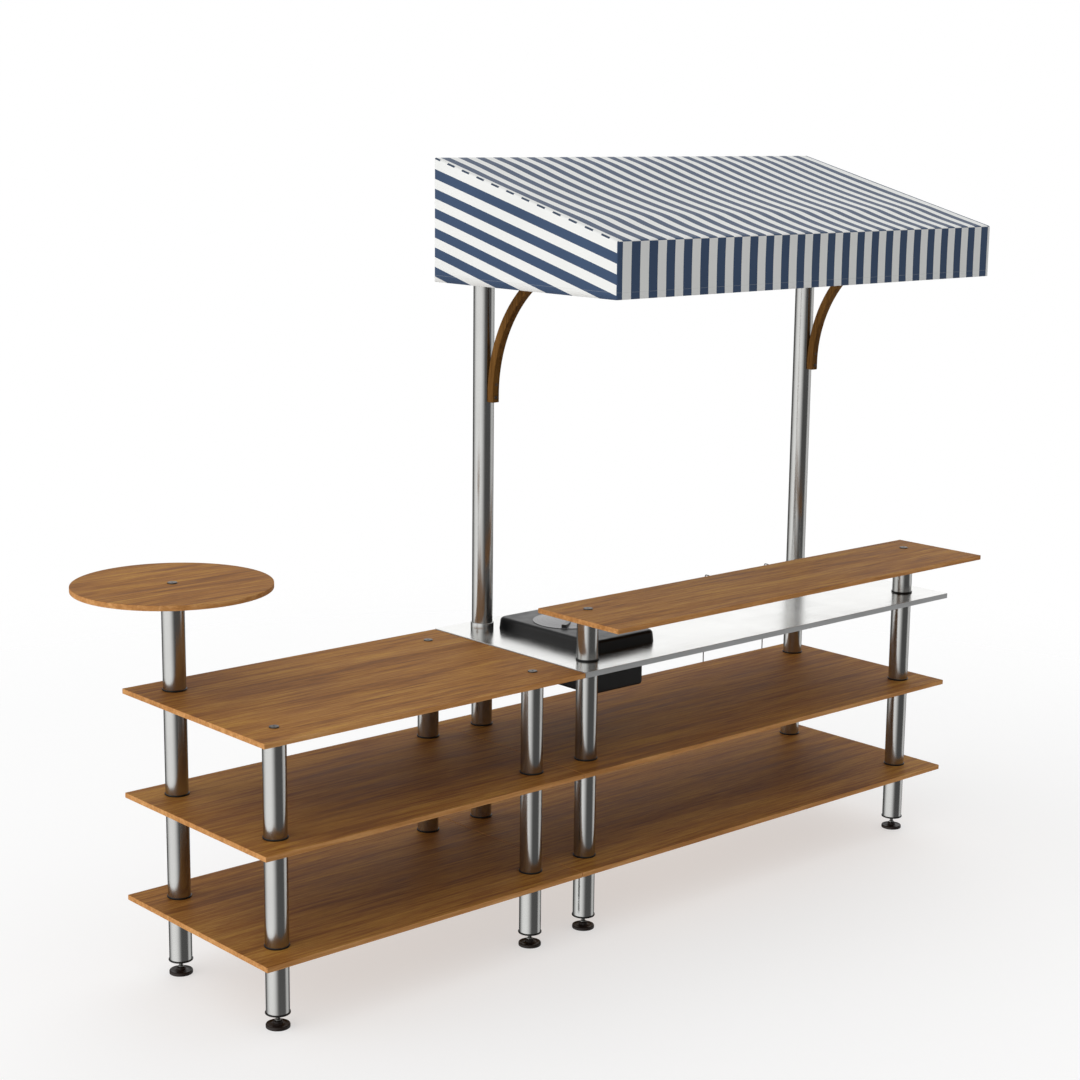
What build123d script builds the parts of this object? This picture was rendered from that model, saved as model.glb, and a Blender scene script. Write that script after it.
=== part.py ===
from build123d import *
from math import asin, atan2, cos, degrees, radians, sin, tan
import os

# Modular concession counter on levelling feet: a low left module with a round side table, a tall right
# module with a stainless worktop, a raised counter shelf and an awning on two posts.
# Units are millimetres. +X runs left to right, +Y to the rear, +Z up. The origin is the middle of the
# bounding box on the floor.

# ---- driving dimensions -------------------------------------------------------------------------------
left_length = 1200.0         # length of the left module's boards
right_length = 1800.0        # length of the right module's boards
seam_gap = 2.0               # joint between the two modules
board_depth = 750.0          # front to rear
board_thick = 16.0
board_corner = 2.0           # plan radius of the board corners
board_edge = 1.5             # eased edge
bottom_shelf_top = 248.0     # height of the lowest shelf's upper face
bay_height = 310.0           # clear height between two boards

tube_od = 70.0
tube_wall = 2.0
post_inset_x = 115.0         # post axis to the board's end
post_inset_front = 120.0
post_inset_rear = 110.0
post_hole = 19.0             # hole in a board for the tie rod and the cap nut

flange_over = 2.5            # rim of the black plug flange beyond its tube
flange_thick = 5.0
plug_length = 22.0           # spigot inside the tube
leg_plug_length = 60.0
plug_clear = 0.1             # radial, spigot in tube
rod_dia = 12.0
rod_clear = 0.05             # radial, rod or stem in its plug
rod_to_stem = 14.0           # gap between a tie rod's end and the foot's stem

foot_dia = 72.0
foot_thick = 11.0            # the pad's disc
foot_edge = 3.0
foot_hub_dia = 28.0
foot_height = 20.0           # top of the hub
foot_gap = 23.0              # hub to leg flange at rest
foot_stem_length = 63.0
foot_collar_dia = 20.0
foot_collar_thick = 4.0

cap_dia = 30.0
cap_thick = 3.5
cap_barrel_dia = 18.0
cap_barrel_length = 14.0
cap_bore_depth = 12.0

sheet_thick = 2.0            # stainless worktop sheet
counter_clear = 148.0        # worktop to the underside of the raised shelf
counter_depth = 370.0
counter_overhang = 140.0     # raised shelf and awning, in front of the boards
table_radius = 300.0

collar_over = 4.0            # steel collar round a tall post's foot, beyond the tube
collar_height = 28.0
collar_clear = 0.1

awning_drop = 2067.0         # height of the awning's lower edge
awning_front = 173.0         # height of the valance
awning_rear = 397.0          # height at the rear
awning_depth = 857.0
awning_left_over = 147.0     # from the left tall post's axis
awning_right_over = 71.0     # from the right tall post's axis
fabric_thick = 3.0
fabric_clear = 1.0
bar_size = 20.0              # square tube of the awning frame
bar_wall = 1.5
bar_lift = 3.0               # lower rails above the fabric's lower edge
beam_size = 40.0
beam_wall = 2.0
batten_thick = 20.0
batten_height = 48.0
batten_front = 204.0         # batten's front face behind the awning's front

arm_size = 28.0              # square section of the curved wooden arms
arm_tip_drop = 11.3          # arm's rear upper corner below the batten's top
arm_heel = 24.0              # straight stretch against the post
arm_radius = 480.0           # radius of the rear face
arm_turn = 60.0              # degrees
arm_screw_heights = (17.0, 60.0)
arm_screw_dia = 6.0
arm_screw_head = 12.0
arm_screw_head_height = 4.0
arm_screw_sink = 2.0         # countersunk seat of the head in the arm's front face
arm_screw_reach = 10.0       # screw end inside the post's wall
arm_screw_clear = 0.1

well_from_post = 52.0        # housing's side from the left posts' axes
well_y = 390.0               # unit's centre from the boards' front
well_over = 28.0             # housing beyond its case, all round
well_height = 40.0
well_corner = 26.0
well_top_edge = 14.0
well_taper = 3.0             # draft of the housing's sides, degrees
case_side = 9.0              # pan to the outside of the case, left and right
case_depth = 420.0
case_drop = 146.0            # case below the worktop's upper face
case_corner = 18.0
case_wall = 2.0
case_clear = 1.5             # case in the worktop's cut-out
pan_offset = 37.0            # pan's centre behind the unit's centre
pan_radius = 108.0
pan_depth = 110.0
pan_wall = 1.2
pan_lip = 3.0
pan_clear = 0.5
lid_over = 11.0              # lid beyond the pan
lid_rise = 6.0
lid_wall = 1.5
lid_rim = 8.0
lid_clear = 0.3
grip_width = 17.0
grip_height = 4.0            # over the lid's crown
grip_sink = 0.3              # gap between grip foot and the lid's crown
grip_turn = 54.0             # degrees from +X of the grip's chord
grip_radius = 226.0          # bend of the bar in plan
grip_inset = 13.0            # bar's ends inside the lid's edge
grip_edge = 1.5

rail_wire = 4.0              # wire diameter
rail_left = 1307.0           # wires' places from the right module's left end
rail_right = 1635.0
rail_hook = 46.0
rail_under = 34.0            # lower run below the middle shelf's upper face
rail_bend = 5.0
rail_hump = 6.0              # the wire's rise over the worktop's edge
rail_hump_run = 15.0
rail_clear = 0.5

plate_size = (90.0, 40.0, 3.0)   # joining plates under the seam
plate_places = (220.0, 530.0)    # from the boards' front

# ---- places worked out from them ----------------------------------------------------------------------
tube_r = tube_od / 2
bore_r = tube_r - tube_wall
spigot_r = bore_r - plug_clear
flange_r = tube_r + flange_over
collar_r = tube_r + collar_over
table_left = post_inset_x - table_radius
total_right = left_length + seam_gap + right_length
table_rear = board_depth - post_inset_rear + table_radius
x_shift = -(min(table_left, 0.0) + total_right) / 2
y_shift = -(table_rear - counter_overhang) / 2

left_x0 = x_shift
left_x1 = left_x0 + left_length
right_x0 = left_x1 + seam_gap
right_x1 = right_x0 + right_length
front_y = y_shift
rear_y = front_y + board_depth

post_front = front_y + post_inset_front
post_rear = rear_y - post_inset_rear
a_left = left_x0 + post_inset_x
a_right = left_x1 - post_inset_x
b_left = right_x0 + post_inset_x
b_right = right_x1 - post_inset_x
posts_a = {
    "front_left": (a_left, post_front),
    "front_right": (a_right, post_front),
    "rear_left": (a_left, post_rear),
    "rear_right": (a_right, post_rear),
}
posts_b = {
    "front_left": (b_left, post_front),
    "front_right": (b_right, post_front),
    "rear_left": (b_left, post_rear),
    "rear_right": (b_right, post_rear),
}
all_posts = list(posts_a.values()) + list(posts_b.values())
tall_posts = [posts_b["rear_left"], posts_b["rear_right"]]
counter_posts = [posts_b["front_left"], posts_b["front_right"]]
table_post = [posts_a["rear_left"]]
capped_posts = [posts_a["front_left"], posts_a["front_right"], posts_a["rear_right"]]

leg_flange_z = foot_height + foot_gap
level_1 = bottom_shelf_top
level_2 = level_1 + bay_height + board_thick
level_3 = level_2 + bay_height + board_thick
worktop_z = level_3 + sheet_thick
counter_z = worktop_z + counter_clear + board_thick
table_z = level_3 + bay_height + board_thick
leg_top = level_1 - board_thick

awning_x0 = b_left - awning_left_over
awning_x1 = b_right + awning_right_over
awning_y0 = front_y - counter_overhang
awning_y1 = awning_y0 + awning_depth
awning_slope = atan2(awning_rear - awning_front, awning_depth)
fabric_drop = fabric_thick / cos(awning_slope)


def roof(y, below=0.0):
    """Height of the awning's outer upper face at y, less a drop."""
    return awning_drop + awning_front + (y - awning_y0) * tan(awning_slope) - below


frame_drop = fabric_drop + fabric_clear
frame_x0 = awning_x0 + fabric_thick + fabric_clear
frame_x1 = awning_x1 - fabric_thick - fabric_clear
frame_y0 = awning_y0 + fabric_thick + fabric_clear
frame_y1 = awning_y1 - fabric_thick - fabric_clear
beam_top = roof(post_rear - beam_size / 2, frame_drop)
post_top = beam_top - beam_size
batten_y0 = awning_y0 + batten_front
batten_top = roof(batten_y0, frame_drop)

batten_back = batten_y0 + batten_thick

turn = radians(arm_turn)
arm_back = post_rear - tube_r
arm_centre_y = arm_back - arm_radius
arm_run = arm_centre_y + arm_radius * cos(turn) - batten_back
arm_spring = batten_top - arm_tip_drop - arm_radius * sin(turn) - arm_run / tan(turn)
arm_foot = arm_spring - arm_heel
case_width = 2 * (pan_radius + case_side)
well_width = case_width + 2 * well_over
well_depth = case_depth + 2 * well_over
lid_radius = pan_radius + lid_over
unit_x = b_left + well_from_post + well_width / 2
unit_y = front_y + well_y
pan_y = unit_y + pan_offset
housing_top = worktop_z + well_height

os.makedirs("parts", exist_ok=True)


def save(piece, name):
    """Label a finished piece and write its STEP file."""
    piece.part.label = name
    export_step(piece.part, f"parts/{name}.step")


# ---- boards -------------------------------------------------------------------------------------------
def board(name, x0, x1, y0, y1, top, holes):
    """A flat board with eased edges and a hole over each of the given posts."""
    with BuildPart() as panel:
        with BuildSketch(Plane.XY.offset(top - board_thick)):
            with Locations(((x0 + x1) / 2, (y0 + y1) / 2)):
                RectangleRounded(x1 - x0, y1 - y0, board_corner)
        extrude(amount=board_thick)
        rims = panel.faces().filter_by(Axis.Z).edges()
        fillet(rims, radius=board_edge)
        with BuildSketch(Plane.XY.offset(top)):
            with Locations(*holes):
                Circle(post_hole / 2)
        extrude(amount=-board_thick, mode=Mode.SUBTRACT)
    save(panel, name)


for level_name, level in (("bottom", level_1), ("middle", level_2), ("top", level_3)):
    board(f"shelf_a_{level_name}", left_x0, left_x1, front_y, rear_y, level, posts_a.values())
for level_name, level in (("bottom", level_1), ("middle", level_2)):
    board(f"shelf_b_{level_name}", right_x0, right_x1, front_y, rear_y, level, posts_b.values())
counter_front = front_y - counter_overhang
board("counter_shelf", right_x0, right_x1, counter_front, counter_front + counter_depth,
      counter_z, counter_posts)

# Round side table on the left module's rear left post.
with BuildPart() as round_table_top:
    with BuildSketch(Plane.XY.offset(table_z - board_thick)):
        with Locations(*table_post):
            Circle(table_radius)
    extrude(amount=board_thick)
    fillet(round_table_top.edges().filter_by(GeomType.CIRCLE), radius=board_edge)
    with BuildSketch(Plane.XY.offset(table_z)):
        with Locations(*table_post):
            Circle(post_hole / 2)
    extrude(amount=-board_thick, mode=Mode.SUBTRACT)
save(round_table_top, "round_table_top")

# ---- worktop: board core inside a folded stainless sheet ----------------------------------------------
worktop_centre = ((right_x0 + right_x1) / 2, (front_y + rear_y) / 2)
cutout_width = case_width + 2 * case_clear
cutout_depth = case_depth + 2 * case_clear
with BuildPart() as worktop_core:
    with BuildSketch(Plane.XY.offset(level_3 - board_thick)):
        with Locations(worktop_centre):
            Rectangle(right_length - 2 * sheet_thick, board_depth - 2 * sheet_thick)
        with Locations(*posts_b.values()):
            Circle(post_hole / 2, mode=Mode.SUBTRACT)
        with Locations((unit_x, unit_y)):
            RectangleRounded(cutout_width, cutout_depth, case_corner, mode=Mode.SUBTRACT)
    extrude(amount=board_thick)
save(worktop_core, "worktop_core")

with BuildPart() as worktop_sheet:
    with BuildSketch(Plane.XY.offset(level_3)):
        with Locations(worktop_centre):
            Rectangle(right_length, board_depth)
        with Locations(*posts_b.values()):
            Circle(post_hole / 2, mode=Mode.SUBTRACT)
        with Locations((unit_x, unit_y)):
            RectangleRounded(cutout_width, cutout_depth, case_corner, mode=Mode.SUBTRACT)
    extrude(amount=sheet_thick)
    with BuildSketch(Plane.XY.offset(level_3)):
        with Locations(worktop_centre):
            Rectangle(right_length, board_depth)
            Rectangle(right_length - 2 * sheet_thick, board_depth - 2 * sheet_thick, mode=Mode.SUBTRACT)
    extrude(amount=-board_thick)
save(worktop_sheet, "worktop_sheet")


# ---- posts: tube segments, plugs, tie rods, cap nuts --------------------------------------------------
def tubes(name, places, low, high):
    """Round tube segments between two heights, one at each place."""
    with BuildPart() as segments:
        with BuildSketch(Plane.XY.offset(low)):
            with Locations(*places):
                Circle(tube_r)
                Circle(bore_r, mode=Mode.SUBTRACT)
        extrude(amount=high - low)
    save(segments, name)


tubes("leg_tubes", all_posts, leg_flange_z + flange_thick, leg_top)
tubes("lower_bay_tubes", all_posts, level_1 + flange_thick, level_2 - board_thick)
tubes("upper_bay_tubes", all_posts, level_2 + flange_thick, level_3 - board_thick)
tubes("table_post_tube", table_post, level_3 + flange_thick, table_z - board_thick)
tubes("counter_post_tubes", counter_posts, worktop_z + flange_thick, counter_z - board_thick)

# Tall posts, drilled for the arm screws.
for side, place in (("left", tall_posts[0]), ("right", tall_posts[1])):
    with BuildPart() as awning_post:
        with BuildSketch(Plane.XY.offset(worktop_z)):
            with Locations(place):
                Circle(tube_r)
                Circle(bore_r, mode=Mode.SUBTRACT)
        extrude(amount=post_top - worktop_z)
        with BuildSketch(Plane.XZ.offset(-place[1])):
            with Locations(*[(place[0], arm_foot + rise) for rise in arm_screw_heights]):
                Circle(arm_screw_dia / 2 + arm_screw_clear)
        extrude(amount=tube_od, mode=Mode.SUBTRACT)
    save(awning_post, f"awning_post_{side}")

# Plug seats: every tube but the legs and the tall posts stands on a flanged plug.
plug_levels = ((level_1, all_posts), (level_2, all_posts), (level_3, table_post), (worktop_z, counter_posts))
with BuildPart() as flanged_plugs:
    for height, places in plug_levels:
        with BuildSketch(Plane.XY.offset(height)):
            with Locations(*places):
                Circle(flange_r)
                Circle(rod_dia / 2 + rod_clear, mode=Mode.SUBTRACT)
        extrude(amount=flange_thick)
        with BuildSketch(Plane.XY.offset(height + flange_thick)):
            with Locations(*places):
                Circle(spigot_r)
                Circle(rod_dia / 2 + rod_clear, mode=Mode.SUBTRACT)
        extrude(amount=plug_length)
save(flanged_plugs, "flanged_plugs")

with BuildPart() as leg_plugs:
    with BuildSketch(Plane.XY.offset(leg_flange_z)):
        with Locations(*all_posts):
            Circle(flange_r)
            Circle(rod_dia / 2 + rod_clear, mode=Mode.SUBTRACT)
    extrude(amount=flange_thick)
    with BuildSketch(Plane.XY.offset(leg_flange_z + flange_thick)):
        with Locations(*all_posts):
            Circle(spigot_r)
            Circle(rod_dia / 2 + rod_clear, mode=Mode.SUBTRACT)
    extrude(amount=leg_plug_length)
save(leg_plugs, "leg_plugs")

# Plain plugs centre the tube tops, and the tall posts' feet.
tube_tops = (
    (leg_top, all_posts),
    (level_2 - board_thick, all_posts),
    (level_3 - board_thick, all_posts),
    (table_z - board_thick, table_post),
    (counter_z - board_thick, counter_posts),
    (post_top, tall_posts),
    (worktop_z + plug_length, tall_posts),
)
with BuildPart() as inner_plugs:
    for height, places in tube_tops:
        with BuildSketch(Plane.XY.offset(height)):
            with Locations(*places):
                Circle(spigot_r)
                Circle(rod_dia / 2 + rod_clear, mode=Mode.SUBTRACT)
        extrude(amount=-plug_length)
save(inner_plugs, "inner_plugs")

stem_top = foot_height + foot_stem_length
rod_low = stem_top + rod_to_stem
rod_ends = (
    (level_3 - cap_barrel_length + cap_bore_depth, capped_posts),
    (table_z - cap_barrel_length + cap_bore_depth, table_post),
    (counter_z - cap_barrel_length + cap_bore_depth, counter_posts),
    (worktop_z + plug_length, tall_posts),
)
with BuildPart() as tie_rods:
    for rod_top, places in rod_ends:
        with BuildSketch(Plane.XY.offset(rod_low)):
            with Locations(*places):
                Circle(rod_dia / 2)
        extrude(amount=rod_top - rod_low)
save(tie_rods, "tie_rods")

with BuildPart() as cap_nuts:
    for height, places in ((level_3, capped_posts), (table_z, table_post), (counter_z, counter_posts)):
        with BuildSketch(Plane.XY.offset(height)):
            with Locations(*places):
                Circle(cap_dia / 2)
        extrude(amount=cap_thick)
        with BuildSketch(Plane.XY.offset(height)):
            with Locations(*places):
                Circle(cap_barrel_dia / 2)
        extrude(amount=-cap_barrel_length)
        with BuildSketch(Plane.XY.offset(height - cap_barrel_length)):
            with Locations(*places):
                Circle(rod_dia / 2 + rod_clear)
        extrude(amount=cap_bore_depth, mode=Mode.SUBTRACT)
save(cap_nuts, "cap_nuts")

with BuildPart() as awning_post_collars:
    with BuildSketch(Plane.XY.offset(worktop_z)):
        with Locations(*tall_posts):
            Circle(collar_r)
            Circle(tube_r + collar_clear, mode=Mode.SUBTRACT)
    extrude(amount=collar_height)
save(awning_post_collars, "awning_post_collars")

# Flat plates under the seam hold the two modules together.
with BuildPart() as joining_plates:
    for level in (level_1, level_2, level_3):
        with BuildSketch(Plane.XY.offset(level - board_thick)):
            with Locations(*[(left_x1 + seam_gap / 2, front_y + place) for place in plate_places]):
                Rectangle(plate_size[0], plate_size[1])
        extrude(amount=-plate_size[2])
save(joining_plates, "joining_plates")

# ---- levelling feet: a pad and its threaded stem, one pair for each leg -------------------------------
for module, posts in (("a", posts_a), ("b", posts_b)):
    for corner, place in posts.items():
        with BuildPart() as foot_pad:
            with BuildSketch(Plane.XY):
                with Locations(place):
                    Circle(foot_dia / 2)
            extrude(amount=foot_thick)
            fillet(foot_pad.edges().group_by(Axis.Z)[-1], radius=foot_edge)
            with BuildSketch(Plane.XY):
                with Locations(place):
                    Circle(foot_hub_dia / 2)
            extrude(amount=foot_height)
        save(foot_pad, f"foot_pad_{module}_{corner}")
        with BuildPart() as foot_stem:
            with BuildSketch(Plane.XY.offset(foot_height)):
                with Locations(place):
                    Circle(rod_dia / 2)
            extrude(amount=foot_stem_length)
            with BuildSketch(Plane.XY.offset(foot_height)):
                with Locations(place):
                    RegularPolygon(foot_collar_dia / 2, 6)
            extrude(amount=foot_collar_thick)
        save(foot_stem, f"foot_stem_{module}_{corner}")


# ---- awning frame -------------------------------------------------------------------------------------
def tube_frame(name, uprights, cut, bars, size=bar_size, wall=bar_wall):
    """Square tubes, each from its plane's origin corner; the uprights are cut off above the plane cut."""
    with BuildPart() as frame:
        for plane, length in uprights:
            with BuildSketch(plane):
                Rectangle(size, size, align=(Align.MIN, Align.MIN))
                with Locations((wall, wall)):
                    inside = size - 2 * wall
                    Rectangle(inside, inside, align=(Align.MIN, Align.MIN), mode=Mode.SUBTRACT)
            extrude(amount=length)
        if uprights:
            split(bisect_by=cut, keep=Keep.BOTTOM)
        for plane, length in bars:
            with BuildSketch(plane):
                Rectangle(size, size, align=(Align.MIN, Align.MIN))
                with Locations((wall, wall)):
                    inside = size - 2 * wall
                    Rectangle(inside, inside, align=(Align.MIN, Align.MIN), mode=Mode.SUBTRACT)
            extrude(amount=length)
    save(frame, name)


rail_z = awning_drop + bar_lift
run = frame_y1 - frame_y0
rafter_run = run / cos(awning_slope) - bar_size * tan(awning_slope)
rafter_dir = (0, cos(awning_slope), sin(awning_slope))
rafter_up = (0, -sin(awning_slope), cos(awning_slope))
rafter_low = roof(frame_y0, frame_drop) - bar_size / cos(awning_slope)
rafter_y = frame_y0 + bar_size * sin(awning_slope)
rafter_z = rafter_low + bar_size * sin(awning_slope) * tan(awning_slope)
for side, x in (("left", frame_x0), ("right", frame_x1 - bar_size)):
    upright_planes = [Plane((x, y, rail_z + bar_size)) for y in (frame_y0, frame_y1 - bar_size)]
    under_rafter = Plane((x, frame_y0, rafter_low), x_dir=(1, 0, 0), z_dir=rafter_up)
    low_rail = Plane((x + bar_size, frame_y0, rail_z), x_dir=(-1, 0, 0), z_dir=(0, 1, 0))
    rafter = Plane((x + bar_size, rafter_y, rafter_z), x_dir=(-1, 0, 0), z_dir=rafter_dir)
    tube_frame(
        f"gable_frame_{side}",
        [(plane, awning_rear) for plane in upright_planes],
        under_rafter,
        [(low_rail, run), (rafter, rafter_run)],
    )

rail_x = frame_x0 + bar_size
rail_length = frame_x1 - frame_x0 - 2 * bar_size
rail_corners = (
    (frame_y0, rail_z),
    (frame_y1 - bar_size, rail_z),
    (frame_y0, roof(frame_y0, frame_drop) - bar_size),
    (frame_y1 - bar_size, roof(frame_y1 - bar_size, frame_drop) - bar_size),
)
long_planes = [Plane((rail_x, y, z), x_dir=(0, 1, 0), z_dir=(1, 0, 0)) for y, z in rail_corners]
tube_frame("awning_long_rails", [], None, [(plane, rail_length) for plane in long_planes])
beam_plane = Plane((rail_x, post_rear - beam_size / 2, post_top), x_dir=(0, 1, 0), z_dir=(1, 0, 0))
tube_frame("awning_beam", [], None, [(beam_plane, rail_length)], beam_size, beam_wall)

with BuildPart() as arm_batten:
    with BuildSketch(Plane((rail_x, batten_y0, batten_top), x_dir=(0, 1, 0), z_dir=(1, 0, 0))):
        Rectangle(batten_thick, batten_height, align=(Align.MIN, Align.MAX))
    extrude(amount=rail_length)
save(arm_batten, "arm_batten")

# ---- curved wooden arms -------------------------------------------------------------------------------
# Side outline in Y and Z: a straight heel against the post, an arc, and a straight run up to the batten.
arm_front_radius = arm_radius - arm_size
arc_end_back = (arm_centre_y + arm_radius * cos(turn), arm_spring + arm_radius * sin(turn))
arc_end_front = (arm_centre_y + arm_front_radius * cos(turn), arm_spring + arm_front_radius * sin(turn))
arc_mid_back = (arm_centre_y + arm_radius * cos(turn / 2), arm_spring + arm_radius * sin(turn / 2))
arc_mid_front = (
    arm_centre_y + arm_front_radius * cos(turn / 2),
    arm_spring + arm_front_radius * sin(turn / 2),
)
tip_back = (batten_back, arc_end_back[1] + (arc_end_back[0] - batten_back) / tan(turn))
tip_front = (batten_back, arc_end_front[1] + (arc_end_front[0] - batten_back) / tan(turn))
screw_seat = arm_back - arm_size + arm_screw_sink
for side, place in (("left", tall_posts[0]), ("right", tall_posts[1])):
    with BuildPart() as arm:
        with BuildSketch(Plane.YZ.offset(place[0] - arm_size / 2)):
            with BuildLine():
                Line((arm_back, arm_foot), (arm_back, arm_spring))
                ThreePointArc((arm_back, arm_spring), arc_mid_back, arc_end_back)
                Line(arc_end_back, tip_back)
                Line(tip_back, tip_front)
                Line(tip_front, arc_end_front)
                ThreePointArc(arc_end_front, arc_mid_front, (arm_back - arm_size, arm_spring))
                Line((arm_back - arm_size, arm_spring), (arm_back - arm_size, arm_foot))
                Line((arm_back - arm_size, arm_foot), (arm_back, arm_foot))
            make_face()
        extrude(amount=arm_size)
        with BuildSketch(Plane.XZ.offset(-arm_back)):
            with Locations(*[(place[0], arm_foot + rise) for rise in arm_screw_heights]):
                Circle(arm_screw_dia / 2 + arm_screw_clear)
        extrude(amount=2 * arm_size, both=True, mode=Mode.SUBTRACT)
        with BuildSketch(Plane.XZ.offset(-screw_seat)):
            with Locations(*[(place[0], arm_foot + rise) for rise in arm_screw_heights]):
                Circle(arm_screw_head / 2 + arm_screw_clear)
        extrude(amount=arm_size, mode=Mode.SUBTRACT)
    save(arm, f"arm_{side}")

with BuildPart() as arm_screws:
    for place in tall_posts:
        spots = [(place[0], arm_foot + rise) for rise in arm_screw_heights]
        with BuildSketch(Plane.XZ.offset(-screw_seat)):
            with Locations(*spots):
                Circle(arm_screw_dia / 2)
        extrude(amount=-(arm_size + tube_wall + arm_screw_reach))
        with BuildSketch(Plane.XZ.offset(-screw_seat)):
            with Locations(*spots):
                Circle(arm_screw_head / 2)
        extrude(amount=arm_screw_head_height)
save(arm_screws, "arm_screws")


# ---- awning cover: five sewn panels -------------------------------------------------------------------
def gable(name, x):
    """A gable panel whose upper edge follows the roof's under face."""
    with BuildPart() as panel:
        with BuildSketch(Plane.YZ.offset(x)):
            with BuildLine():
                Polyline(
                    (awning_y0, awning_drop),
                    (awning_y1, awning_drop),
                    (awning_y1, roof(awning_y1, fabric_drop)),
                    (awning_y0, roof(awning_y0, fabric_drop)),
                    close=True,
                )
            make_face()
        extrude(amount=fabric_thick)
    save(panel, name)


gable("canopy_gable_left", awning_x0)
gable("canopy_gable_right", awning_x1 - fabric_thick)

with BuildPart() as canopy_top:
    with BuildSketch(Plane.YZ.offset(awning_x0)):
        with BuildLine():
            Polyline(
                (awning_y0, roof(awning_y0, fabric_drop)),
                (awning_y1, roof(awning_y1, fabric_drop)),
                (awning_y1, roof(awning_y1)),
                (awning_y0, roof(awning_y0)),
                close=True,
            )
        make_face()
    extrude(amount=awning_x1 - awning_x0)
save(canopy_top, "canopy_top")


def cross_panel(name, y, height):
    """An upright panel across the awning, between the gables."""
    with BuildPart() as panel:
        with BuildSketch(Plane.XY.offset(awning_drop)):
            with Locations(((awning_x0 + awning_x1) / 2, y + fabric_thick / 2)):
                Rectangle(awning_x1 - awning_x0 - 2 * fabric_thick, fabric_thick)
        extrude(amount=height)
    save(panel, name)


cross_panel("canopy_valance", awning_y0, roof(awning_y0, fabric_drop) - awning_drop)
cross_panel("canopy_back", awning_y1 - fabric_thick, roof(awning_y1 - fabric_thick, fabric_drop) - awning_drop)

# ---- drop-in well -------------------------------------------------------------------------------------
lip_radius = pan_radius + pan_lip
lid_hole = pan_radius + pan_clear
with BuildPart() as well_housing:
    with BuildSketch(Plane.XY.offset(worktop_z)):
        with Locations((unit_x, unit_y)):
            RectangleRounded(well_width, well_depth, well_corner)
    extrude(amount=well_height, taper=well_taper)
    fillet(well_housing.faces().sort_by(Axis.Z)[-1].edges(), radius=well_top_edge)
    with BuildSketch(Plane.XY.offset(worktop_z)):
        with Locations((unit_x, pan_y)):
            Circle(lid_hole)
    extrude(amount=well_height, mode=Mode.SUBTRACT)
    with BuildSketch(Plane.XY.offset(housing_top - pan_wall)):
        with Locations((unit_x, pan_y)):
            Circle(lip_radius + pan_clear)
    extrude(amount=pan_wall, mode=Mode.SUBTRACT)
save(well_housing, "well_housing")

case_low = worktop_z - case_drop
with BuildPart() as well_case:
    with BuildSketch(Plane.XY.offset(case_low)):
        with Locations((unit_x, unit_y)):
            RectangleRounded(case_width, case_depth, case_corner)
    extrude(amount=case_drop)
    fillet(well_case.faces().sort_by(Axis.Z)[0].edges(), radius=case_corner / 2)
    offset(amount=-case_wall, openings=well_case.faces().sort_by(Axis.Z)[-1])
save(well_case, "well_case")

pan_low = housing_top - pan_depth
with BuildPart() as well_pan:
    with BuildSketch(Plane.XZ.offset(-pan_y)):
        with BuildLine():
            Polyline(
                (unit_x, pan_low),
                (unit_x + pan_radius, pan_low),
                (unit_x + pan_radius, housing_top - pan_wall),
                (unit_x + lip_radius, housing_top - pan_wall),
                (unit_x + lip_radius, housing_top),
                (unit_x + pan_radius - pan_wall, housing_top),
                (unit_x + pan_radius - pan_wall, pan_low + pan_wall),
                (unit_x, pan_low + pan_wall),
                close=True,
            )
        make_face()
    revolve(axis=Axis((unit_x, pan_y, 0), (0, 0, 1)))
save(well_pan, "well_pan")

# Domed lid: a flat rim that rests on the housing and a shallow crown.
lid_z = housing_top + lid_clear
crown_chord = lid_radius - lid_rim
crown_radius = (crown_chord ** 2 + lid_rise ** 2) / (2 * lid_rise)
crown_centre = lid_z + lid_wall + lid_rise - crown_radius
mid_run = crown_chord / 2
inner_crown = crown_radius - lid_wall


def crown(radius, reach):
    """Height of the crown's sphere of this radius at this distance from the axis."""
    return crown_centre + (radius ** 2 - reach ** 2) ** 0.5


under_reach = (inner_crown ** 2 - (lid_z - crown_centre) ** 2) ** 0.5
with BuildPart() as well_lid:
    with BuildSketch(Plane.XZ.offset(-pan_y)):
        with BuildLine():
            Line((unit_x, crown(inner_crown, 0)), (unit_x, crown(crown_radius, 0)))
            ThreePointArc(
                (unit_x, crown(crown_radius, 0)),
                (unit_x + mid_run, crown(crown_radius, mid_run)),
                (unit_x + crown_chord, lid_z + lid_wall),
            )
            Line((unit_x + crown_chord, lid_z + lid_wall), (unit_x + lid_radius, lid_z + lid_wall))
            Line((unit_x + lid_radius, lid_z + lid_wall), (unit_x + lid_radius, lid_z))
            Line((unit_x + lid_radius, lid_z), (unit_x + under_reach, lid_z))
            ThreePointArc(
                (unit_x + under_reach, lid_z),
                (unit_x + mid_run, crown(inner_crown, mid_run)),
                (unit_x, crown(inner_crown, 0)),
            )
        make_face()
    revolve(axis=Axis((unit_x, pan_y, 0), (0, 0, 1)))
save(well_lid, "well_lid")

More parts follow.
